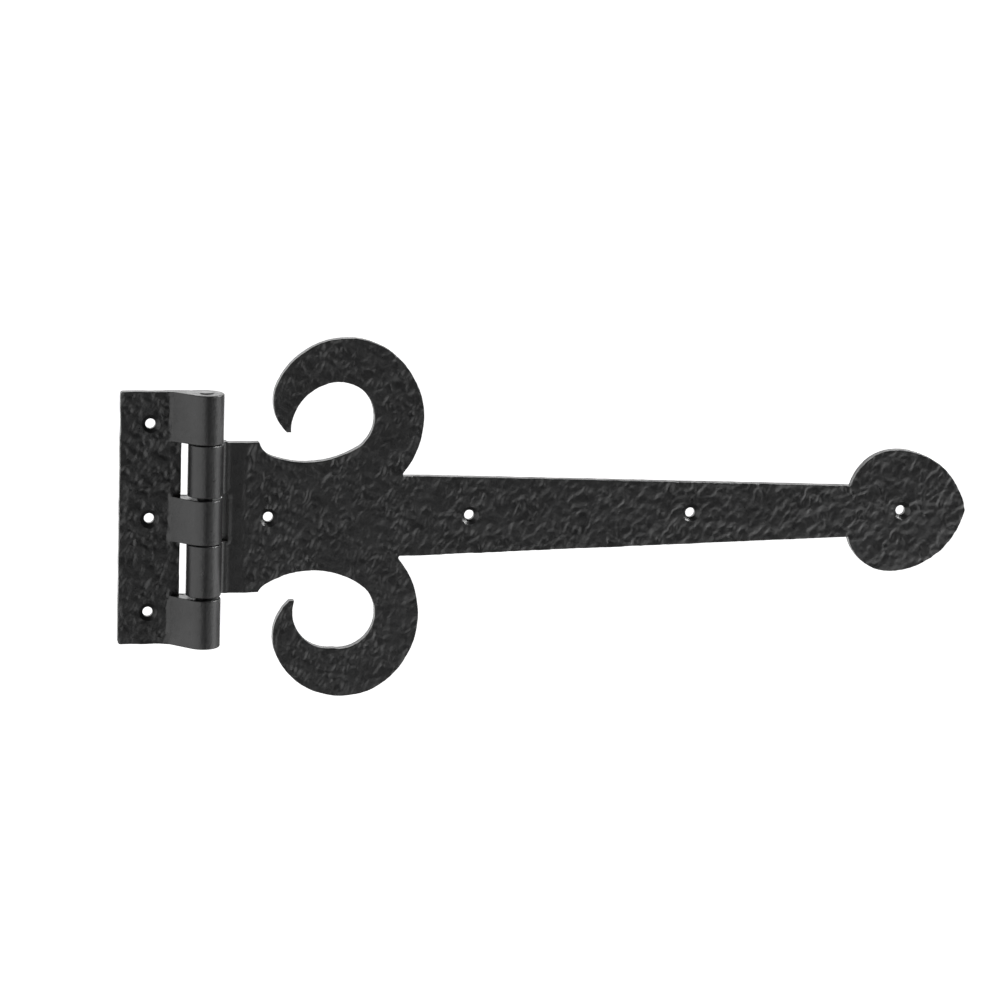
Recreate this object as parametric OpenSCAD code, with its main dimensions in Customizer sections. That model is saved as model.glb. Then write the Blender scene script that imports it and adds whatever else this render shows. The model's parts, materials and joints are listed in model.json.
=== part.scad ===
// Strap hinge for a gate or barn door: a rectangular frame leaf, a long strap leaf with a pair
// of scrolls near the joint and a heart-shaped end, and a plain pin through five knuckles.
// X runs along the strap, Z along the pin, and the front faces -Y. Both leaves lie flat on the
// plane y = 0. The origin is the middle of the frame leaf's screw line, on that plane.

/* [Plates] */
// Thickness of both cast leaves
plate_t = 4; // [3:0.5:6]

/* [Frame leaf] */
// Height of the leaf, along the pin
leaf_h = 102; // [90:1:115]
// Distance from the leaf's outer edge to the pin's axis
leaf_reach = 33.3; // [31:0.1:38]
// Distance from the leaf's outer edge to its screw line
leaf_hole_inset = 12; // [10:0.1:14]
// Spacing of the leaf's three screws
leaf_hole_pitch = 38; // [34:0.5:40]
// Radius of the leaf's two outer corners
leaf_corner_r = 1.2; // [0.5:0.1:4]

/* [Barrel and pin] */
// Radius of the knuckles
barrel_r = 7; // [6:0.25:8]
// Radius of the pin
pin_r = 3; // [2.5:0.25:4]
// Radial clearance of the pin in the strap's knuckles
pin_play = 0.06; // [0.03:0.01:0.1]
// How far the pin's peened ends stand out of the barrel
pin_proud = 0.4; // [0.2:0.1:1]
// Half the height of the leaf's middle knuckle
mid_knuckle_half = 9; // [8:0.5:11]
// Height of each of the strap's two knuckles
strap_knuckle_h = 21; // [19:0.5:22]
// End play of the strap along the pin
end_play = 1.2; // [0.6:0.1:1.6]
// Gap left above each strap knuckle when the strap rests at its highest
top_gap = 0.2; // [0.1:0.05:0.3]
// How far the ramp onto the frame leaf's knuckles starts from the pin's axis
ramp_reach = 12.7; // [11:0.1:15]
// Distance from the pin's axis to the edge of the leaf's notches
notch_reach = 9; // [8.8:0.1:10.5]
// Radius of the round relief that clears the leaf's middle knuckle
relief_r = 10.4; // [9.5:0.1:10.6]
// Radius of the fillets between castings' round and flat parts
fillet_r = 2; // [1:0.5:3]

/* [Strap] */
// How far the strap's middle line stands below the middle of its knuckles
outline_drop = 0.4; // [0:0.1:0.4]
// Station of the upper waist's narrowest place, from the pin's axis
upper_waist_at = 40.8; // [39:0.1:43]
// Distance of the upper waist from the strap's middle line
upper_waist_half = 22.4; // [21.6:0.1:22.8]
// Station of the lower waist's narrowest place, from the pin's axis
lower_waist_at = 44; // [42:0.1:45]
// Distance of the lower waist from the strap's middle line
lower_waist_half = 22; // [21.5:0.1:22.5]
// Radius of the short arcs between the neck's corners and its waist
corner_r = 9; // [8:0.5:10]
// Station of those short arcs' centres, from the pin's axis
corner_at = 30.4; // [30:0.1:32]
// Half the width of the strap where it leaves the scrolls
root_half = 16.4; // [15:0.1:18]
// Radius of the fillets between the scrolls' shoulders and the strap
root_fillet_r = 0.8; // [0.5:0.1:2]
// Station where the strap starts to taper
taper_from = 87; // [85:1:95]
// Half the width that the taper comes down to in the middle of the heart
tip_half = 10.3; // [9:0.1:12]

/* [Scrolls] */
// Centre of the upper scroll's outer arc, along the strap and across it
upper_centre = [56.3, 41.6]; // [40:0.1:58]
// Radius of the upper scroll's outer arc
upper_r = 30.6; // [29:0.1:31]
// Radius of the upper scroll's flatter shoulder
upper_shoulder_r = 33.8; // [33:0.1:37]
// Direction in which the upper scroll's outer arc and shoulder meet
upper_turn = 45; // [30:1:50]
// Centre of the upper hollow, along the strap and across it
upper_hollow = [53, 40]; // [39:0.1:54]
// Radius of the upper hollow
upper_hollow_r = 14.5; // [14:0.1:15]
// Centre of the wider arc on the free end's side of the upper hollow
upper_reach = [53.7, 35.1]; // [34:0.1:55]
// Radius of that wider arc
upper_reach_r = 19.3; // [18.8:0.1:19.6]
// Radius of the arc that rounds off the upper scroll's free end
upper_curl_r = 17.6; // [17:0.1:21]
// Centre of the lower scroll's outer arc, along the strap and across it
lower_centre = [57.2, 44.7]; // [40:0.1:58]
// Radius of the lower scroll's outer arc
lower_r = 29.5; // [29:0.1:31]
// Radius of the lower scroll's flatter shoulder
lower_shoulder_r = 35.6; // [33:0.1:37]
// Direction in which the lower scroll's outer arc and shoulder meet
lower_turn = 37; // [30:1:50]
// Centre of the lower hollow, along the strap and across it
lower_hollow = [55.6, 39.9]; // [39:0.1:56]
// Radius of the lower hollow
lower_hollow_r = 14.3; // [14:0.1:15]
// Centre of the wider arc on the free end's side of the lower hollow
lower_reach = [52.2, 38.5]; // [38:0.1:53]
// Radius of that wider arc
lower_reach_r = 15.6; // [15.3:0.1:15.9]
// Radius of the arc that rounds off the lower scroll's free end
lower_curl_r = 19.6; // [17:0.1:21]
// Direction in which each outer arc runs into the arc of its free end
curl_turn = 155; // [150:1:170]
// Distance of the two blunt free ends from the strap's middle line
free_end = 34.2; // [33:0.1:37]

/* [Heart end] */
// Station of the heart's widest place
heart_at = 286; // [275:0.5:295]
// Half the width of the heart
heart_half = 25.7; // [24:0.1:28]
// Radius of the two lobes on the side of the strap
lobe_r = 19.5; // [18:0.1:21]
// Radius of the two sides that meet in the point
point_r = 32; // [30:0.5:40]

/* [Screw holes] */
// Stations of the strap's four screws, from the pin's axis
strap_holes = [26, 107.5, 199.5, 289.5]; // [25:0.5:292]
// Radius of the screw clearance holes
hole_r = 2; // [1.8:0.1:3]
// Radius of the countersinks at the front face
sink_r = 4.2; // [4:0.1:5.5]

/* [Hidden] */
$fn = 96;
over = 1;
far = 100;
// Arcs that run into each other cross by this much, so that no edge between them vanishes
cross = 0.1;
pin_x = leaf_reach - leaf_hole_inset;
pin_y = -barrel_r;
leaf_half = leaf_h / 2;
sink_depth = sink_r - hole_r;
notch_h = strap_knuckle_h + end_play;
strap_lift = end_play / 2 - top_gap;
neck_half = mid_knuckle_half + end_play / 2 + strap_knuckle_h;
strap_knuckle_z = neck_half - strap_knuckle_h / 2;
end_knuckle_from = mid_knuckle_half + notch_h;
leaf_colour = [0.16, 0.16, 0.17];
strap_colour = [0.2, 0.2, 0.21];
pin_colour = [0.45, 0.45, 0.47];

// A point at a distance and direction from a centre
function polar(centre, r, angle) = centre + r * [cos(angle), sin(angle)];

// Radius of the waist's arc that runs smoothly into a hollow
function waist_radius(waist, hollow, r) =
    let (across = waist.y - hollow.y, inset = cross - r)
    (pow(inset, 2) - pow(across, 2) - pow(hollow.x - waist.x, 2)) / (2 * (across - inset));

// Place where the waist's arc, with a centre and a radius, runs into a hollow
function waist_join(middle, waist_r, hollow) =
    middle + waist_r * (hollow - middle) / norm(hollow - middle);

// A flat outline in X and Z, made into a plate that stands on the plane y = 0
module plate(thickness) {
    rotate([90, 0, 0]) linear_extrude(thickness) children();
}

// Places a section, drawn around the pin's axis with the front up, along a stretch of the pin
module along_pin(from, to) {
    translate([pin_x, pin_y, from]) linear_extrude(to - from) mirror([0, 1]) children();
}

// A straight round hole along the pin
module pin_bore(r) {
    translate([pin_x, pin_y, -leaf_h]) cylinder(r = r, h = 2 * leaf_h);
}

// A screw hole through a leaf, countersunk from the front
module screw_hole(x, z) {
    translate([x, over, z]) rotate([90, 0, 0]) cylinder(r = hole_r, h = plate_t + 2 * over);
    translate([x, sink_depth - plate_t, z])
        rotate([90, 0, 0]) cylinder(r1 = hole_r, r2 = sink_r + over, h = sink_depth + over);
}

// Frame leaf --------------------------------------------------------------------------------

module leaf_outline() {
    left = -leaf_hole_inset;
    right = pin_x - notch_reach;
    for (side = [-1, 1])
        translate([left + leaf_corner_r, side * (leaf_half - leaf_corner_r)]) circle(r = leaf_corner_r);
    translate([left + leaf_corner_r, -leaf_half]) square([right - left - leaf_corner_r, leaf_h]);
    translate([left, leaf_corner_r - leaf_half]) square([right - left, leaf_h - 2 * leaf_corner_r]);
}

// Knuckle of the frame leaf: a circle, the flat back and the ramp that climbs onto its top
module leaf_knuckle_section() {
    face = plate_t - barrel_r;
    climb = atan2(face, -ramp_reach) - acos(barrel_r / norm([ramp_reach, face]));
    circle(r = barrel_r);
    polygon([[0, -barrel_r], [0, 0], polar([0, 0], barrel_r, climb), [-ramp_reach, face],
        [-ramp_reach, -barrel_r]]);
}

module frame_leaf() {
    color(leaf_colour) difference() {
        union() {
            plate(plate_t) leaf_outline();
            along_pin(end_knuckle_from, leaf_half) leaf_knuckle_section();
            along_pin(-mid_knuckle_half, mid_knuckle_half) leaf_knuckle_section();
            along_pin(-leaf_half, -end_knuckle_from) leaf_knuckle_section();
        }
        pin_bore(pin_r);
        for (step = [-1, 0, 1]) screw_hole(0, step * leaf_hole_pitch);
    }
}

// Strap leaf --------------------------------------------------------------------------------

// Scroll above the strap's middle line: a round lobe with a flatter shoulder, a hollow and a
// free end that curls back towards the neck
module scroll(centre, outer_r, shoulder_r, turn, hollow, hollow_r, reach, reach_r, curl_r) {
    shoulder = polar(centre, outer_r - shoulder_r - cross, turn);
    curl = polar(centre, outer_r - curl_r + cross, curl_turn);
    root_up = root_half + root_fillet_r;
    root_out = shoulder.x + sqrt(pow(shoulder_r + root_fillet_r, 2) - pow(shoulder.y - root_up, 2));
    difference() {
        union() {
            difference() {
                translate(centre) circle(r = outer_r);
                difference() {
                    polygon([curl, polar(curl, far, curl_turn), [-far, 0], [hollow.x, 0],
                        [hollow.x, curl.y]]);
                    intersection() {
                        translate(curl) circle(r = curl_r);
                        translate([-far, free_end]) square(2 * far);
                    }
                }
            }
            intersection() {
                translate(shoulder) circle(r = shoulder_r);
                polygon([shoulder, polar(shoulder, far, turn), [far, 0], [shoulder.x, 0]]);
            }
            difference() {
                polygon([shoulder, [root_out, root_up], [root_out, 0], [shoulder.x, 0]]);
                translate([root_out, root_up]) circle(r = root_fillet_r);
            }
        }
        translate(hollow) circle(r = hollow_r);
        intersection() {
            translate(reach) circle(r = reach_r);
            translate([-far, 0]) square([far + hollow.x, far]);
        }
    }
}

// One side of the strap near the joint: the square neck, its waist and the scroll
module scrolled_side(waist, centre, outer_r, shoulder_r, turn, hollow, hollow_r, reach, reach_r,
        curl_r) {
    waist_r = waist_radius(waist, hollow, hollow_r);
    middle = waist + [0, waist_r];
    join = waist_join(middle, waist_r, hollow);
    corner_turn = asin((waist.x - corner_at) / (waist_r - corner_r + cross));
    corner = polar(middle, waist_r - corner_r + cross, -90 - corner_turn);
    turn_at = polar(middle, waist_r, -90 - corner_turn).x;
    web_end = hollow.x + hollow_r - over;
    difference() {
        union() {
            translate([0, -over]) square([turn_at, neck_half + over]);
            difference() {
                translate([turn_at - over, -over]) square([web_end - turn_at + over, neck_half + over]);
                translate(middle) circle(r = waist_r);
            }
        }
        translate(corner) circle(r = corner_r);
    }
    difference() {
        scroll(centre, outer_r, shoulder_r, turn, hollow, hollow_r, reach, reach_r, curl_r);
        intersection() {
            translate(middle) circle(r = waist_r);
            translate([hollow.x - over, 0]) square([join.x - hollow.x + over, free_end - over]);
        }
    }
}

// Tapered strap, from the waist into the heart
module taper_outline() {
    polygon([[corner_at, -root_half], [taper_from, -root_half], [heart_at, -tip_half],
        [heart_at, tip_half], [taper_from, root_half], [corner_at, root_half]]);
}

// Two lobes on the side of the strap, and two sides that meet in the point
module heart_outline() {
    lobe_out = heart_half - lobe_r;
    side_in = point_r - heart_half;
    for (side = [-1, 1]) translate([heart_at, side * lobe_out]) circle(r = lobe_r);
    intersection() {
        translate([heart_at, -heart_half]) square([2 * heart_half, 2 * heart_half]);
        translate([heart_at, -side_in]) circle(r = point_r);
        translate([heart_at, side_in]) circle(r = point_r);
    }
}

module strap_outline() {
    taper_outline();
    heart_outline();
    scrolled_side([upper_waist_at, upper_waist_half], upper_centre, upper_r, upper_shoulder_r, upper_turn,
        upper_hollow, upper_hollow_r, upper_reach, upper_reach_r, upper_curl_r);
    mirror([0, 1])
        scrolled_side([lower_waist_at, lower_waist_half], lower_centre, lower_r, lower_shoulder_r, lower_turn,
            lower_hollow, lower_hollow_r, lower_reach, lower_reach_r, lower_curl_r);
}

// Knuckle of the strap: a circle, the flat back and a small fillet down to the neck's face
module strap_knuckle_section() {
    face = plate_t - barrel_r;
    fillet_up = face + fillet_r;
    fillet_out = sqrt(pow(barrel_r + fillet_r, 2) - pow(fillet_up, 2));
    circle(r = barrel_r);
    translate([0, -barrel_r]) square([fillet_out, plate_t]);
    difference() {
        polygon([[0, 0], [fillet_out, fillet_up], [fillet_out, face - over], [0, face - over]]);
        translate([fillet_out, fillet_up]) circle(r = fillet_r);
    }
}

module strap_leaf() {
    color(strap_colour) translate([0, 0, strap_lift]) difference() {
        union() {
            translate([pin_x, 0, -outline_drop]) plate(plate_t) strap_outline();
            for (z = [-strap_knuckle_z, strap_knuckle_z])
                along_pin(z - strap_knuckle_h / 2, z + strap_knuckle_h / 2) strap_knuckle_section();
        }
        pin_bore(pin_r + pin_play);
        translate([pin_x, pin_y, strap_knuckle_h / 2 - strap_knuckle_z])
            cylinder(r = relief_r, h = 2 * strap_knuckle_z - strap_knuckle_h);
        for (station = strap_holes) screw_hole(pin_x + station, -outline_drop);
    }
}

// Hinge pin ---------------------------------------------------------------------------------

// Plain pin with a small chamfer at each peened end
module hinge_pin() {
    end = leaf_half + pin_proud;
    color(pin_colour) translate([pin_x, pin_y, 0])
        rotate_extrude() polygon([[0, -end], [pin_r - pin_proud, -end], [pin_r, -leaf_half],
            [pin_r, leaf_half], [pin_r - pin_proud, end], [0, end]]);
}

frame_leaf();
strap_leaf();
hinge_pin();
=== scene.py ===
import json
import math

import bmesh
import bpy
import numpy as np
from mathutils import Matrix, Vector, geometry, noise


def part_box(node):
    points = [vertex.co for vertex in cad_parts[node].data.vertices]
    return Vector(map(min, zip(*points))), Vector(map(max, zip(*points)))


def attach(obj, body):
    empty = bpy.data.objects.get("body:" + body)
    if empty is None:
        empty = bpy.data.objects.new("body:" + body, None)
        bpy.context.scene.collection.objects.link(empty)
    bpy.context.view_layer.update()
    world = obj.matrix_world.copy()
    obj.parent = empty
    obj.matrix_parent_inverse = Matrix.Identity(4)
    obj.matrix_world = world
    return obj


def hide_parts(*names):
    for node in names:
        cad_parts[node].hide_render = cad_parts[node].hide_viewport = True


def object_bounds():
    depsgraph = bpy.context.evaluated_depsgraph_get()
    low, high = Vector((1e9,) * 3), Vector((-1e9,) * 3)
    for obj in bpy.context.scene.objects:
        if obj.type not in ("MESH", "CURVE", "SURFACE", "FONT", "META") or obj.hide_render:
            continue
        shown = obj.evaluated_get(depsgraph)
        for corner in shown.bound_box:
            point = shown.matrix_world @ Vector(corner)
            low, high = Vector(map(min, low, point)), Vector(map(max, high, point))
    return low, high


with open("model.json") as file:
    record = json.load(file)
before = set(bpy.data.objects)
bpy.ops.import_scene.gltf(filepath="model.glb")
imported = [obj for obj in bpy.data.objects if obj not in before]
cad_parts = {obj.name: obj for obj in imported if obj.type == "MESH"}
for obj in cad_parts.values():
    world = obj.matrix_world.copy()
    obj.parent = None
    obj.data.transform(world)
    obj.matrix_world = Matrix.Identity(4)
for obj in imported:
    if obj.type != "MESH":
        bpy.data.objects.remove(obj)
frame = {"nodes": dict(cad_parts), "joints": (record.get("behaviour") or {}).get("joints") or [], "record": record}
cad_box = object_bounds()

# A black painted strap hinge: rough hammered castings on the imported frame's own outlines, with
# smooth knuckles on a peened pin. Lengths named in millimetres are turned into metres by MM.

MM = 0.001
SEED = 7
CHUNK = 4000  # points handled at a time
TINY = 1e-18  # keeps a division by a length of zero finite
WELD = 1e-6
PLANE_TOLERANCE = 0.02 * MM

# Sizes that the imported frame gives.
PIN = Vector(frame["joints"][0]["pos_m"])
LEAF_LOW, LEAF_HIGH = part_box("frame_leaf")
BARREL_R = (LEAF_HIGH.y - LEAF_LOW.y) / 2

# Levels of the plates' faces, how near a screw's axis a point belongs to its hole, and how far
# past the barrel the middles of the ramps' faces and their points reach.
FRONT_LEVEL = -4.0 * MM
BACK_LEVEL = 0.0
HOLE_WALL_REACH = 4.0 * MM
HOLE_RIM_REACH = 4.6 * MM
RAMP_FACES_REACH = 6.2 * MM
RAMP_POINTS_REACH = 5.4 * MM

# Spacing of the skins' points, and the rounding of the castings' edges.
FRONT_SPACING = 0.52 * MM
BACK_SPACING = 3.0 * MM
EDGE_STEP = 0.62 * MM
EDGE_ROUND = 0.4 * MM
KNUCKLE_ROUND = 0.5 * MM
RING_OFFSETS = [0.07 * MM, 0.2 * MM, 0.4 * MM, 0.75 * MM]
FIRST_LATTICE = 1.25 * MM
WALL_ROWS = [-3.05 * MM, -2.4 * MM, -1.7 * MM, -1.0 * MM, -0.35 * MM]
KNUCKLE_ROWS = [0.06 * MM, 0.17 * MM, 0.32 * MM, 0.5 * MM]
SHARP_ANGLE = math.radians(38)

# Hammered relief: depth where its height is zero and at its deepest, how far its lines bend, and
# its four wavelengths.
ZERO_DEPTH = 0.55 * MM
DEEPEST = 1.2 * MM
BEND = 1.0 * MM
SWELL_LENGTH = 7 * MM
CREASE_LENGTH = 4.2 * MM
DENT_LENGTH = 2.7 * MM
PIT_LENGTH = 1.9 * MM

# Smooth band of the neck beside the knuckles, from the pin's axis, and the ridge at its end.
ROUGH_FROM = 16.0 * MM
ROUGH_BLEND = 3.0 * MM
RIDGE_AT = 16.6 * MM
RIDGE_WIDTH = 1.2 * MM
SMOOTH_DEPTH = 0.36 * MM

# Peened end of the pin: share of the radius, and drop below the tip in millimetres.
DOME = [(1.0, 0.75), (0.97, 0.5), (0.92, 0.3), (0.84, 0.16), (0.7, 0.07), (0.5, 0.025), (0.28, 0.0)]
PIN_SIDES = 72

WHITE = (1, 1, 1, 1)
PAINT_DARK = (0.003, 0.003, 0.0031, 1)
PAINT_WORN = (0.0065, 0.0066, 0.0068, 1)

# World brightness round the hinge, on the camera's side and behind the hinge, where white is 1.
DIM_SIDE = 0.1
BRIGHT_SIDE = 2.0

# Direction of each soft box from the hinge (degrees to the right of its front, and up), its
# distance, width and height in metres, and its brightness where white is 1.
LIGHTS = [
    ("left_softbox", -62, -4, 1.6, 3.3, 2.2, 1.7),
    ("right_softbox", 90, 0, 0.85, 1.1, 1.4, 2.1),
    ("low_softbox", 44, -36, 0.75, 0.8, 0.45, 1.7),
    ("key", 86, 40, 0.8, 0.38, 0.38, 30.0),
]

# Floor: half its width, and its height, in metres.
FLOOR_HALF = 60.0
FLOOR_LEVEL = -1.5

# Camera: degrees to the left of the hinge's front, up, and tilted, its aim and its distance, and
# the lens and sensor width in millimetres.
AZIMUTH, ELEVATION, ROLL = 12.56, 12.39, 2.17
AIM = Vector((140.8, -4.0, 6.4)) * MM
DISTANCE = 1364.6 * MM
LENS, SENSOR_WIDTH = 122.3, 36.0


# Mesh helpers -------------------------------------------------------------------------------

def segment_distance(points, starts, ends):
    """Distance of each 2-D point to the nearest of some segments, and that segment's index."""
    along = ends - starts
    length_2 = np.maximum((along ** 2).sum(1), TINY)
    best = np.empty(len(points))
    which = np.empty(len(points), int)
    for first in range(0, len(points), CHUNK):
        part = points[first:first + CHUNK]
        rel = part[:, None, :] - starts[None]
        t = np.clip((rel * along[None]).sum(2) / length_2, 0, 1)
        gap = ((rel - t[..., None] * along[None]) ** 2).sum(2)
        which[first:first + CHUNK] = gap.argmin(1)
        best[first:first + CHUNK] = np.sqrt(gap.min(1))
    return best, which


def inside(points, starts, ends):
    """Even-odd test of 2-D points against closed loops given as segments."""
    found = np.zeros(len(points), bool)
    x0, z0, x1, z1 = starts[:, 0], starts[:, 1], ends[:, 0], ends[:, 1]
    rise = np.where(z1 == z0, TINY, z1 - z0)
    for first in range(0, len(points), CHUNK):
        part = points[first:first + CHUNK]
        x, z = part[:, 0:1], part[:, 1:2]
        crosses = ((z0 > z) != (z1 > z)) & (x < (x1 - x0) * (z - z0) / rise + x0)
        found[first:first + CHUNK] = crosses.sum(1) % 2 == 1
    return found


def flat(co):
    return (co.x, co.z)


def from_pin(co):
    """Distance from the pin's axis."""
    return math.hypot(co.x - PIN.x, co.y - PIN.y)


def is_wall(face):
    """A side wall of a plate: upright to the plate's faces, and clear of the barrel."""
    middle = face.calc_center_median()
    return (abs(face.normal.y) < 0.02 and middle.y > FRONT_LEVEL - PLANE_TOLERANCE
            and from_pin(middle) > BARREL_R + 0.3 * MM and not near_screw(middle, HOLE_WALL_REACH))


def screw_centres():
    """The screw holes' centres, read from the record's mounts."""
    found = []
    for mount in frame["record"]["mounts"]:
        centre = Vector(mount["pos_m"])
        dims = mount["dims"]
        if mount["kind"] == "bore":
            found.append(centre)
        if mount["kind"] == "bolt_pattern":
            half = Vector((dims.get("spacing_x_mm", 0), 0, dims.get("spacing_y_mm", 0))) * MM / 2
            found += [centre - half, centre + half]
    return found


SCREWS = screw_centres()


def near_screw(co, limit):
    return any(math.hypot(co.x - h.x, co.z - h.z) < limit for h in SCREWS)


def welded(node):
    """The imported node's mesh as a bmesh, with the two halves of each strip in one piece again."""
    bm = bmesh.new()
    bm.from_mesh(frame["nodes"][node].data)
    bmesh.ops.remove_doubles(bm, verts=bm.verts, dist=WELD)
    bm.normal_update()
    diagonals = [e for e in bm.edges if len(e.link_faces) == 2
                 and e.calc_face_angle(1.0) < math.radians(0.1)
                 and all(max(abs(f.normal.y), abs(f.normal.z)) < 0.999 for f in e.link_faces)
                 and sum(abs(a - b) > WELD for a, b in zip(e.verts[0].co, e.verts[1].co)) > 1]
    bmesh.ops.dissolve_edges(bm, edges=diagonals, use_verts=False)
    bm.normal_update()
    return bm


def cut(bm, faces, point, normal):
    geom = set(faces)
    for f in faces:
        geom.update(f.edges)
        geom.update(f.verts)
    bmesh.ops.bisect_plane(bm, geom=list(geom), dist=WELD, plane_co=point, plane_no=normal)
    bm.normal_update()


def knuckle_ends(bm):
    """Heights of the knuckles' end planes."""
    found = set()
    for f in bm.faces:
        if abs(f.normal.z) > 0.999 and f.calc_center_median().y < FRONT_LEVEL - 0.5 * MM:
            found.add(round(f.calc_center_median().z, 6))
    return sorted(found)


def barrel_faces(bm):
    """Outer round faces and ramps of the knuckles."""
    limit = BARREL_R + RAMP_FACES_REACH
    return [f for f in bm.faces
            if abs(f.normal.z) < 0.1 and abs(f.calc_center_median().x - PIN.x) < limit
            and from_pin(f.calc_center_median()) > 0.8 * BARREL_R
            and (f.calc_center_median().y < FRONT_LEVEL - PLANE_TOLERANCE
                 or from_pin(f.calc_center_median()) < BARREL_R + 0.2 * MM)]


def split_long_edges(bm, edges, step):
    groups = {}
    for e in edges:
        cuts = math.ceil(e.calc_length() / step) - 1
        if cuts > 0:
            groups.setdefault(cuts, []).append(e)
    for cuts in sorted(groups):
        live = [e for e in groups[cuts] if e.is_valid]
        bmesh.ops.subdivide_edges(bm, edges=live, cuts=cuts)


def rung_walls(bm):
    """Cuts each long wall strip across wherever its two long sides have been split."""
    bm.normal_update()
    for strip in [f for f in bm.faces if is_wall(f) and len(f.verts) > 4]:
        rows = {}
        for v in strip.verts:
            rows.setdefault(round(v.co.y, 6), []).append(v)
        if len(rows) != 2:
            continue
        front, back = rows.values()
        for v in front:
            mate = min(back, key=lambda other: (other.co.xz - v.co.xz).length)
            if (mate.co.xz - v.co.xz).length > 0.4 * EDGE_STEP or bm.edges.get((v, mate)):
                continue
            shared = [f for f in v.link_faces if mate in list(f.verts)]
            if shared:
                bmesh.utils.face_split(shared[0], v, mate)
    bm.normal_update()


def level_faces(bm, level, facing):
    return [f for f in bm.faces
            if f.normal.y * facing > 0.9999 and abs(f.calc_center_median().y - level) < PLANE_TOLERANCE]


def lattice(low, high, spacing, rng):
    """Staggered grid of points with a little scatter."""
    rise = spacing * math.sqrt(3) / 2
    points = []
    rows = int((high[1] - low[1]) / rise) + 1
    columns = int((high[0] - low[0]) / spacing) + 2
    for row in range(rows):
        shift = spacing / 2 if row % 2 else 0.0
        for column in range(columns):
            points.append((low[0] + column * spacing + shift, low[1] + row * rise))
    return np.array(points) + rng.uniform(-0.12, 0.12, (len(points), 2)) * spacing


def border_of(faces):
    face_set = set(faces)
    return [e for e in sorted({e for f in faces for e in f.edges}, key=lambda e: e.index)
            if sum(f in face_set for f in e.link_faces) == 1]


def outline(bm, level, facing):
    """The drawn outline of the flat faces at a level: segments, and what each one borders on."""
    bm.edges.index_update()
    faces = level_faces(bm, level, facing)
    face_set = set(faces)
    starts, ends, kinds, normals = [], [], [], []
    for e in border_of(faces):
        other = next(f for f in e.link_faces if f not in face_set)
        middle = (e.verts[0].co + e.verts[1].co) / 2
        starts.append(flat(e.verts[0].co))
        ends.append(flat(e.verts[1].co))
        normals.append(flat(other.normal))
        kinds.append("hole" if near_screw(middle, HOLE_RIM_REACH)
                     else "joined" if other.normal.y * facing > 0.05 else "free")
    return np.array(starts), np.array(ends), np.array(kinds), np.array(normals)


def enclosed(triangles, points, edges, edge_origin, starts, ends):
    """The triangles inside an outline. Each patch between outline edges goes as its largest one,
    and a patch that reaches the outer hull is outside."""
    fences = {frozenset(e) for e, origin in zip(edges, edge_origin) if origin}
    beside = {}
    for t, triangle in enumerate(triangles):
        for k in range(3):
            beside.setdefault(frozenset((triangle[k], triangle[k - 1])), []).append(t)
    a, b, c = (points[triangles[:, k]] for k in range(3))
    area = abs((b - a)[:, 0] * (c - a)[:, 1] - (b - a)[:, 1] * (c - a)[:, 0])
    within = inside((a + b + c) / 3, starts, ends)
    keep = np.zeros(len(triangles), bool)
    seen = np.zeros(len(triangles), bool)
    for first in range(len(triangles)):
        if seen[first]:
            continue
        patch, todo, outside = [], [first], False
        seen[first] = True
        while todo:
            t = todo.pop()
            patch.append(t)
            triangle = triangles[t]
            for k in range(3):
                edge = frozenset((triangle[k], triangle[k - 1]))
                if edge in fences:
                    continue
                outside |= len(beside[edge]) == 1
                for n in beside[edge]:
                    if not seen[n]:
                        seen[n] = True
                        todo.append(n)
        keep[patch] = within[max(patch, key=lambda t: area[t])] and not outside
    return triangles[keep]


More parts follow.
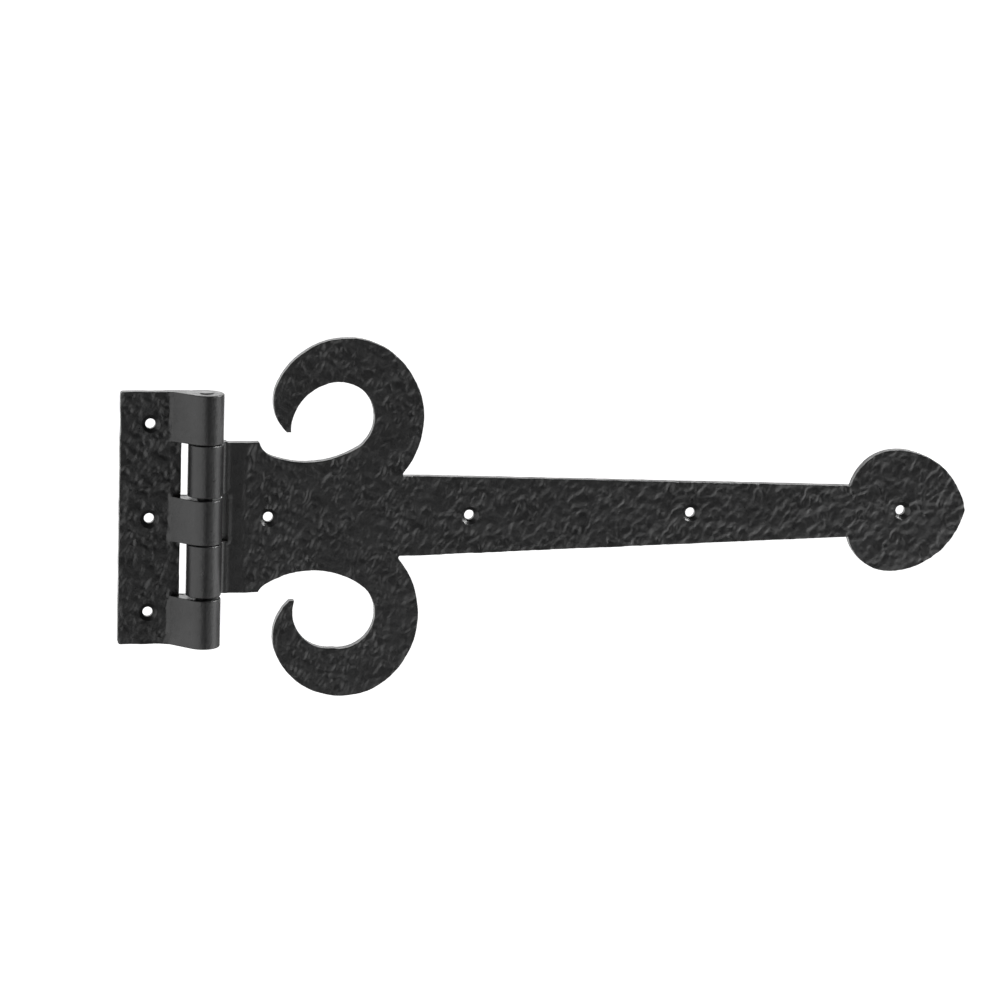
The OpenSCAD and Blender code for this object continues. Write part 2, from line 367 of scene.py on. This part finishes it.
def reskin(bm, level, facing, spacing, drawn, rounded):
    """Replaces the flat faces at a level with an even triangle net that keeps their outline.
    Returns {vertex: (distance to a free edge, distance to a joined edge, lean, root, kind)}."""
    starts, ends, kinds, normals = drawn
    free, joined = kinds == "free", kinds == "joined"
    bm.edges.index_update()
    faces = level_faces(bm, level, facing)
    border = border_of(faces)
    border_set = set(border)
    inner = [e for e in {e for f in faces for e in f.edges} if e not in border_set]
    bmesh.ops.delete(bm, geom=faces, context="FACES_ONLY")
    bmesh.ops.delete(bm, geom=inner, context="EDGES")
    bmesh.ops.delete(bm, geom=[v for v in bm.verts if not v.link_edges], context="VERTS")

    verts = list(dict.fromkeys(v for e in border for v in e.verts))
    place = {v: i for i, v in enumerate(verts)}
    base = np.array([flat(v.co) for v in verts])
    pairs = [(place[e.verts[0]], place[e.verts[1]]) for e in border]
    middles = np.array([(base[a] + base[b]) / 2 for a, b in pairs])
    _, owner = segment_distance(middles, starts, ends)

    # Push of a border vertex: towards the inside of the plate, square to its walls.
    push = np.zeros((len(verts), 2))
    touches = {kind: np.zeros(len(verts), bool) for kind in ("free", "joined", "hole")}
    for pair, segment in zip(pairs, owner):
        for i in pair:
            touches[kinds[segment]][i] = True
            if free[segment]:
                push[i] -= normals[segment]
    push /= np.maximum(np.linalg.norm(push, axis=1), 1e-9)[:, None]
    on_free = touches["free"] & ~touches["joined"]

    extra, parent, offset = np.zeros((0, 2)), np.zeros(0, int), np.zeros(0)
    if rounded:
        rim = np.flatnonzero(on_free)
        parent = np.tile(rim, len(RING_OFFSETS))
        offset = np.repeat(RING_OFFSETS, len(rim))
        extra = base[parent] + push[parent] * offset[:, None]
        gap, _ = segment_distance(extra, starts, ends)
        keep = (gap > 0.93 * offset) & inside(extra, starts, ends)
        extra, parent, offset = extra[keep], parent[keep], offset[keep]
    rng = np.random.default_rng(SEED)
    grid = lattice(base.min(0), base.max(0), spacing, rng)
    grid = grid[inside(grid, starts, ends)]
    gap, which = segment_distance(grid, starts, ends)
    grid = grid[gap > np.where(free[which] & rounded, FIRST_LATTICE, 0.55 * spacing)]

    points = np.vstack([base, extra, grid])
    found = geometry.delaunay_2d_cdt([Vector(p) for p in points / MM], pairs, [], 0, 1e-7)
    out_co, edges, triangles, origin, edge_origin = found[:5]
    out = np.array([(c.x, c.y) for c in out_co]) * MM
    triangles = enclosed(np.array(triangles), out, edges, edge_origin, starts, ends)
    far = np.full(len(points), 1.0)
    free_gap = segment_distance(points, starts[free], ends[free])[0]
    joined_gap = segment_distance(points, starts[joined], ends[joined])[0] if joined.any() else far

    made, info = {}, {}
    for k in sorted(set(triangles.ravel())):
        source = min(origin[k])
        own = source < len(verts)
        v = verts[source] if own else bm.verts.new((out[k][0], level, out[k][1]))
        made[k] = v
        root = source if own else -1
        share = 1.0
        if len(verts) <= source < len(verts) + len(extra):
            root = parent[source - len(verts)]
            share = 1 - offset[source - len(verts)] / FIRST_LATTICE
        leans = root >= 0 and on_free[root]
        lean = push[root] * share if leans else None
        kind = "hole" if own and touches["hole"][source] else "plain"
        info[v] = (free_gap[source], joined_gap[source], lean, base[root] if leans else None, kind)
    for triangle in triangles:
        f = bm.faces.new([made[k] for k in triangle])
        f.normal_update()
        if f.normal.y * facing < 0:
            f.normal_flip()
    return info


# Relief -------------------------------------------------------------------------------------

def wobble(x, z, scale, salt):
    """Smooth noise in -1..1 at a wavelength of about scale."""
    return noise.noise(Vector((x / scale + 17.3 * salt, 5.1 * salt, z / scale - 9.7 * salt)))


def hammered(x, z):
    """Depth of the hammered relief under the highest point of the casting's face: close dents
    that lean to the right, with a few creases between them, on broad swells."""
    u = x + BEND * wobble(x, z, 5 * MM, 1)
    w = z + BEND * wobble(x, z, 5 * MM, 2)
    across = u * 0.9 - w * 0.44
    along = (u * 0.44 + w * 0.9) * 0.75
    broad = wobble(u, w, SWELL_LENGTH, 3)
    creases = abs(wobble(across, along, CREASE_LENGTH, 4))
    dents = wobble(across, along, DENT_LENGTH, 5)
    pits = min(wobble(across, along, PIT_LENGTH, 6), 0.12) * 1.4
    strength = 1.0 + 0.7 * wobble(x, z, 12 * MM, 7)
    height = (0.25 * broad + strength * (0.16 * creases + 0.3 * dents + 0.36 * pits)) * MM
    return min(max(ZERO_DEPTH - height, 0.0), DEEPEST)


def ease(t):
    t = min(max(t, 0.0), 1.0)
    return t * t * (3 - 2 * t)


def strap_face(x, z):
    """The neck is smooth beside the knuckles, ends in a low ridge, and is hammered from there."""
    station = x - PIN.x - 1.1 * MM * wobble(x, z, 6 * MM, 8)
    rough = ease((station - ROUGH_FROM) / ROUGH_BLEND)
    ridge = math.exp(-((station - RIDGE_AT) / RIDGE_WIDTH) ** 2)
    ridge *= 0.5 + 0.9 * wobble(x, z, 5 * MM, 9)
    smooth = SMOOTH_DEPTH + 0.06 * MM * wobble(x, z, 4 * MM, 10)
    depth = smooth * (1 - rough) + hammered(x, z) * rough - 0.22 * MM * ridge
    return max(depth, 0.0)


def quarter_round(gap, radius):
    """How far a rounded edge has dropped at a distance in from the edge."""
    if gap >= radius:
        return 0.0
    return radius - math.sqrt(max(radius ** 2 - (radius - gap) ** 2, 0.0))


def edge_shift(x, z):
    """How far the cast outline stands inside the drawn one."""
    slow = wobble(x, z, 9 * MM, 11)
    quick = wobble(x, z, 3.2 * MM, 12)
    return max(0.12 + 0.16 * slow + 0.07 * quick, 0.0) * MM


def relieve_front(info, depth_at):
    for v, (free_gap, joined_gap, lean, root, kind) in info.items():
        x, z = float(v.co.x), float(v.co.z)
        fade = ease(joined_gap / (1.6 * MM))
        depth = depth_at(x, z) * fade
        if kind == "hole":
            centre = min(SCREWS, key=lambda h: math.hypot(h.x - x, h.z - z))
            away = Vector((x - centre.x, 0, z - centre.z))
            if away.length > 3 * MM:
                v.co -= away.normalized() * depth
                v.co.y += depth
            continue
        radius = EDGE_ROUND * (0.8 + 0.5 * wobble(x, z, 8 * MM, 13))
        depth += quarter_round(free_gap, radius) * fade
        v.co.y += depth
        if root is not None:
            shift = edge_shift(root[0], root[1])
            v.co.x += lean[0] * shift
            v.co.z += lean[1] * shift


def relieve_walls(bm, skip):
    """Rough side walls: every wall vertex below the front edge moves in by the outline's shift."""
    bm.normal_update()
    moves = {}
    for v in bm.verts:
        if v in skip or v.co.y < FRONT_LEVEL + 0.3 * MM:
            continue
        walls = [f.normal for f in v.link_faces if is_wall(f)]
        if not walls or any(abs(f.normal.z) > 0.99 and from_pin(f.calc_center_median()) < BARREL_R
                            for f in v.link_faces):
            continue
        out = sum(walls, Vector())
        out.y = 0
        if out.length < 1e-6 or from_pin(v.co) < BARREL_R + 1.5 * MM:
            continue
        rough = 0.06 * MM * (1 + noise.noise(v.co / (2.6 * MM)))
        inset = edge_shift(v.co.x, v.co.z) + (rough if v.co.y < BACK_LEVEL - 0.1 * MM else 0.0)
        moves[v] = -out.normalized() * inset
    for v, move in moves.items():
        v.co += move


def round_knuckles(bm, ends):
    """Softens the edges round the knuckles' end planes."""
    bm.normal_update()
    moves = {}
    for v in bm.verts:
        gap = min(abs(v.co.z - z) for z in ends)
        if gap > KNUCKLE_ROUND or from_pin(v.co) < 0.8 * BARREL_R or v.co.y > -0.2 * MM:
            continue
        past_ramp = abs(v.co.x - PIN.x) > BARREL_R + RAMP_POINTS_REACH
        on_plate = v.co.y > FRONT_LEVEL - 0.4 * MM and from_pin(v.co) > BARREL_R + 0.1 * MM
        if past_ramp or on_plate:
            continue
        sides = [f.normal * f.calc_area() for f in v.link_faces if abs(f.normal.z) < 0.3]
        out = sum(sides, Vector())
        out.z = 0
        if out.length < 1e-12:
            continue
        moves[v] = -out.normalized() * quarter_round(gap, KNUCKLE_ROUND)
    for v, move in moves.items():
        v.co += move


# Pieces -------------------------------------------------------------------------------------

def finish_mesh(bm, name):
    bmesh.ops.triangulate(bm, faces=bm.faces[:], quad_method="BEAUTY", ngon_method="BEAUTY")
    bmesh.ops.dissolve_degenerate(bm, dist=1e-7, edges=bm.edges)
    bmesh.ops.recalc_face_normals(bm, faces=bm.faces)
    bm.normal_update()
    for f in bm.faces:
        f.smooth = True
    for e in bm.edges:
        e.smooth = len(e.link_faces) == 2 and e.calc_face_angle(math.pi) < SHARP_ANGLE
    mesh = bpy.data.meshes.new(name)
    bm.to_mesh(mesh)
    bm.free()
    piece = bpy.data.objects.new(name, mesh)
    bpy.context.scene.collection.objects.link(piece)
    weighted = piece.modifiers.new("weighted_normals", "WEIGHTED_NORMAL")
    weighted.keep_sharp = True
    return piece


def casting(name, node, depth_at):
    """A cast leaf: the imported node's shape with a fine rough skin and softened edges."""
    bm = welded(node)
    ends = knuckle_ends(bm)
    for row in WALL_ROWS:
        cut(bm, [f for f in bm.faces if is_wall(f)], (0, row, 0), (0, 1, 0))
    for z in ends:
        for row in KNUCKLE_ROWS:
            for side in (-1, 1):
                cut(bm, barrel_faces(bm), (0, 0, z + side * row), (0, 0, 1))
    front = outline(bm, FRONT_LEVEL, -1)
    back = outline(bm, BACK_LEVEL, 1)
    bm.edges.index_update()
    wall_edges = sorted({e for f in bm.faces if is_wall(f) for e in f.edges
                         if abs(e.verts[0].co.y - e.verts[1].co.y) < WELD}, key=lambda e: e.index)
    split_long_edges(bm, wall_edges, EDGE_STEP)
    rung_walls(bm)
    bm.edges.index_update()
    split_long_edges(bm, border_of(level_faces(bm, FRONT_LEVEL, -1)), EDGE_STEP)
    bm.normal_update()
    info = reskin(bm, FRONT_LEVEL, -1, FRONT_SPACING, front, True)
    reskin(bm, BACK_LEVEL, 1, BACK_SPACING, back, False)
    relieve_walls(bm, set(info))
    round_knuckles(bm, ends)
    relieve_front(info, depth_at)
    return finish_mesh(bm, name)


def peened_pin(name, node):
    """The pin, with the low hammered domes of its peened ends."""
    low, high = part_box(node)
    radius = (high.x - low.x) / 2
    centre = (low + high) / 2
    profile = [(share * radius, low.z + drop * MM) for share, drop in reversed(DOME)]
    profile += [(share * radius, high.z - drop * MM) for share, drop in DOME]
    bm = bmesh.new()
    rings = []
    for r, z in profile:
        ring = []
        for k in range(PIN_SIDES):
            turn = 2 * math.pi * k / PIN_SIDES
            x, y = r * math.cos(turn), r * math.sin(turn)
            dent = max(noise.noise(Vector((x, y, z)) / (1.1 * MM)), 0) * 0.12 * MM
            inward = dent if z > centre.z else -dent
            height = z - inward if r < 0.95 * radius else z
            ring.append(bm.verts.new((centre.x + x, centre.y + y, height)))
        rings.append(ring)
    for lower, upper in zip(rings, rings[1:]):
        for k in range(PIN_SIDES):
            n = (k + 1) % PIN_SIDES
            bm.faces.new((lower[k], lower[n], upper[n], upper[k]))
    for ring in (rings[0], rings[-1]):
        tip = bm.verts.new(sum((v.co for v in ring), Vector()) / PIN_SIDES)
        for k in range(PIN_SIDES):
            bm.faces.new((ring[k], ring[(k + 1) % PIN_SIDES], tip))
    return finish_mesh(bm, name)


# Materials ----------------------------------------------------------------------------------

def node_of(tree, kind, **inputs):
    made = tree.nodes.new(kind)
    for key, value in inputs.items():
        made.inputs[key.replace("_", " ")].default_value = value
    return made


def black_paint(name, roughness, bump_strength, grain):
    """Satin black paint over cast iron: uneven sheen, fine grain, and worn high spots."""
    material = bpy.data.materials.new(name)
    material.use_nodes = True
    tree = material.node_tree
    shader = tree.nodes["Principled BSDF"]
    link = tree.links.new
    where = tree.nodes.new("ShaderNodeTexCoord")
    patches = node_of(tree, "ShaderNodeTexNoise", Scale=110.0, Detail=2.0, Roughness=0.5)
    speck = node_of(tree, "ShaderNodeTexNoise", Scale=420.0, Detail=4.0, Roughness=0.65)
    fine = node_of(tree, "ShaderNodeTexNoise", Scale=grain, Detail=5.0, Roughness=0.6)
    for texture in (patches, speck, fine):
        link(where.outputs["Object"], texture.inputs["Vector"])
    tint = tree.nodes.new("ShaderNodeValToRGB")
    tint.color_ramp.elements[0].position = 0.3
    tint.color_ramp.elements[0].color = PAINT_DARK
    tint.color_ramp.elements[1].position = 0.75
    tint.color_ramp.elements[1].color = PAINT_WORN
    link(patches.outputs["Fac"], tint.inputs["Fac"])
    link(tint.outputs["Color"], shader.inputs["Base Color"])
    sheen = node_of(tree, "ShaderNodeMapRange")
    sheen.inputs["From Min"].default_value = 0.3
    sheen.inputs["From Max"].default_value = 0.7
    sheen.inputs["To Min"].default_value = roughness - 0.05
    sheen.inputs["To Max"].default_value = roughness + 0.07
    link(speck.outputs["Fac"], sheen.inputs["Value"])
    link(sheen.outputs["Result"], shader.inputs["Roughness"])
    swell = node_of(tree, "ShaderNodeBump", Strength=1.0, Distance=0.0002)
    link(patches.outputs["Fac"], swell.inputs["Height"])
    bump = node_of(tree, "ShaderNodeBump", Strength=bump_strength, Distance=0.0003)
    link(fine.outputs["Fac"], bump.inputs["Height"])
    link(swell.outputs["Normal"], bump.inputs["Normal"])
    link(bump.outputs["Normal"], shader.inputs["Normal"])
    shader.inputs["IOR"].default_value = 1.5
    return material


# Stage --------------------------------------------------------------------------------------

def softbox(name, place, aim, width, height, radiance):
    light = bpy.data.lights.new(name, "AREA")
    light.shape = "RECTANGLE"
    light.size, light.size_y = width, height
    light.energy = radiance * math.pi * width * height
    lamp = bpy.data.objects.new(name, light)
    lamp.location = place
    lamp.rotation_euler = (Vector(aim) - Vector(place)).to_track_quat("-Z", "Y").to_euler()
    bpy.context.scene.collection.objects.link(lamp)


def studio(centre):
    """White behind the hinge, dim on the camera's side, with the soft boxes round it."""
    world = bpy.data.worlds.new("studio")
    bpy.context.scene.world = world
    world.use_nodes = True
    tree = world.node_tree
    link = tree.links.new
    tree.nodes.clear()
    where = tree.nodes.new("ShaderNodeTexCoord")
    axes = tree.nodes.new("ShaderNodeSeparateXYZ")
    link(where.outputs["Generated"], axes.inputs["Vector"])
    ramp = node_of(tree, "ShaderNodeMapRange")
    ramp.interpolation_type = "SMOOTHSTEP"
    ramp.inputs["From Min"].default_value = 0.7
    ramp.inputs["From Max"].default_value = 0.93
    ramp.inputs["To Min"].default_value = DIM_SIDE
    ramp.inputs["To Max"].default_value = BRIGHT_SIDE
    link(axes.outputs["Y"], ramp.inputs["Value"])
    light = tree.nodes.new("ShaderNodeBackground")
    link(ramp.outputs["Result"], light.inputs["Strength"])
    seen = node_of(tree, "ShaderNodeBackground", Strength=1.0)
    seen.inputs["Color"].default_value = WHITE
    light.inputs["Color"].default_value = WHITE
    path = tree.nodes.new("ShaderNodeLightPath")
    mix = tree.nodes.new("ShaderNodeMixShader")
    out = tree.nodes.new("ShaderNodeOutputWorld")
    link(path.outputs["Is Camera Ray"], mix.inputs[0])
    link(light.outputs[0], mix.inputs[1])
    link(seen.outputs[0], mix.inputs[2])
    link(mix.outputs[0], out.inputs["Surface"])
    for name, turn, lift, reach, width, height, radiance in LIGHTS:
        a, e = math.radians(turn), math.radians(lift)
        toward = Vector((math.sin(a) * math.cos(e), -math.cos(a) * math.cos(e), math.sin(e)))
        place = centre + reach * toward
        softbox(name, place, centre, width, height, radiance)


def pale_floor():
    mesh = bpy.data.meshes.new("floor")
    corners = [(FLOOR_HALF * x, FLOOR_HALF * y, FLOOR_LEVEL)
               for x, y in ((-1, -1), (1, -1), (1, 1), (-1, 1))]
    mesh.from_pydata(corners, [], [(0, 1, 2, 3)])
    floor = bpy.data.objects.new("floor", mesh)
    bpy.context.scene.collection.objects.link(floor)
    material = bpy.data.materials.new("pale_floor")
    material.use_nodes = True
    shader = material.node_tree.nodes["Principled BSDF"]
    shader.inputs["Base Color"].default_value = (0.9, 0.9, 0.9, 1)
    shader.inputs["Roughness"].default_value = 0.9
    shader.inputs["Emission Color"].default_value = WHITE
    shader.inputs["Emission Strength"].default_value = 1.0
    mesh.materials.append(material)
    floor.visible_glossy = False


def camera():
    """A long lens, a little above and to the left of the hinge's front, and slightly tilted."""
    azimuth, elevation, roll = (math.radians(a) for a in (AZIMUTH, ELEVATION, ROLL))
    back = Vector((-math.sin(azimuth) * math.cos(elevation),
                   -math.cos(azimuth) * math.cos(elevation), math.sin(elevation)))
    data = bpy.data.cameras.new("camera")
    data.lens, data.sensor_width = LENS, SENSOR_WIDTH
    data.clip_start, data.clip_end = 0.05, 200.0
    made = bpy.data.objects.new("camera", data)
    made.location = AIM + back * DISTANCE
    level = (-back).to_track_quat("-Z", "Y").to_matrix()
    made.rotation_euler = (level @ Matrix.Rotation(roll, 3, "Z")).to_euler()
    bpy.context.scene.collection.objects.link(made)
    bpy.context.scene.camera = made


def main():
    strap = casting("strap_casting", "strap_leaf", strap_face)
    leaf = casting("leaf_casting", "frame_leaf", hammered)
    pin = peened_pin("peened_pin", "hinge_pin")
    paint = black_paint("black_paint_on_cast_iron", 0.32, 0.5, 1100.0)
    pin_paint = black_paint("black_paint_on_steel", 0.3, 0.15, 900.0)
    for piece, node, body, slot, material in (
            (strap, "strap_leaf", "gate_side", "strap_iron", paint),
            (leaf, "frame_leaf", "frame_side", "leaf_iron", paint),
            (pin, "hinge_pin", "frame_side", "pin_steel", pin_paint)):
        piece.data.materials.append(material)
        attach(piece, body)
        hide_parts(node)
        print(piece.name, len(piece.data.polygons), "faces")
    low, high = cad_box
    studio((low + high) / 2)
    pale_floor()
    camera()
    view = bpy.context.scene.view_settings
    view.view_transform = "Standard"
    view.look = "None"


main()
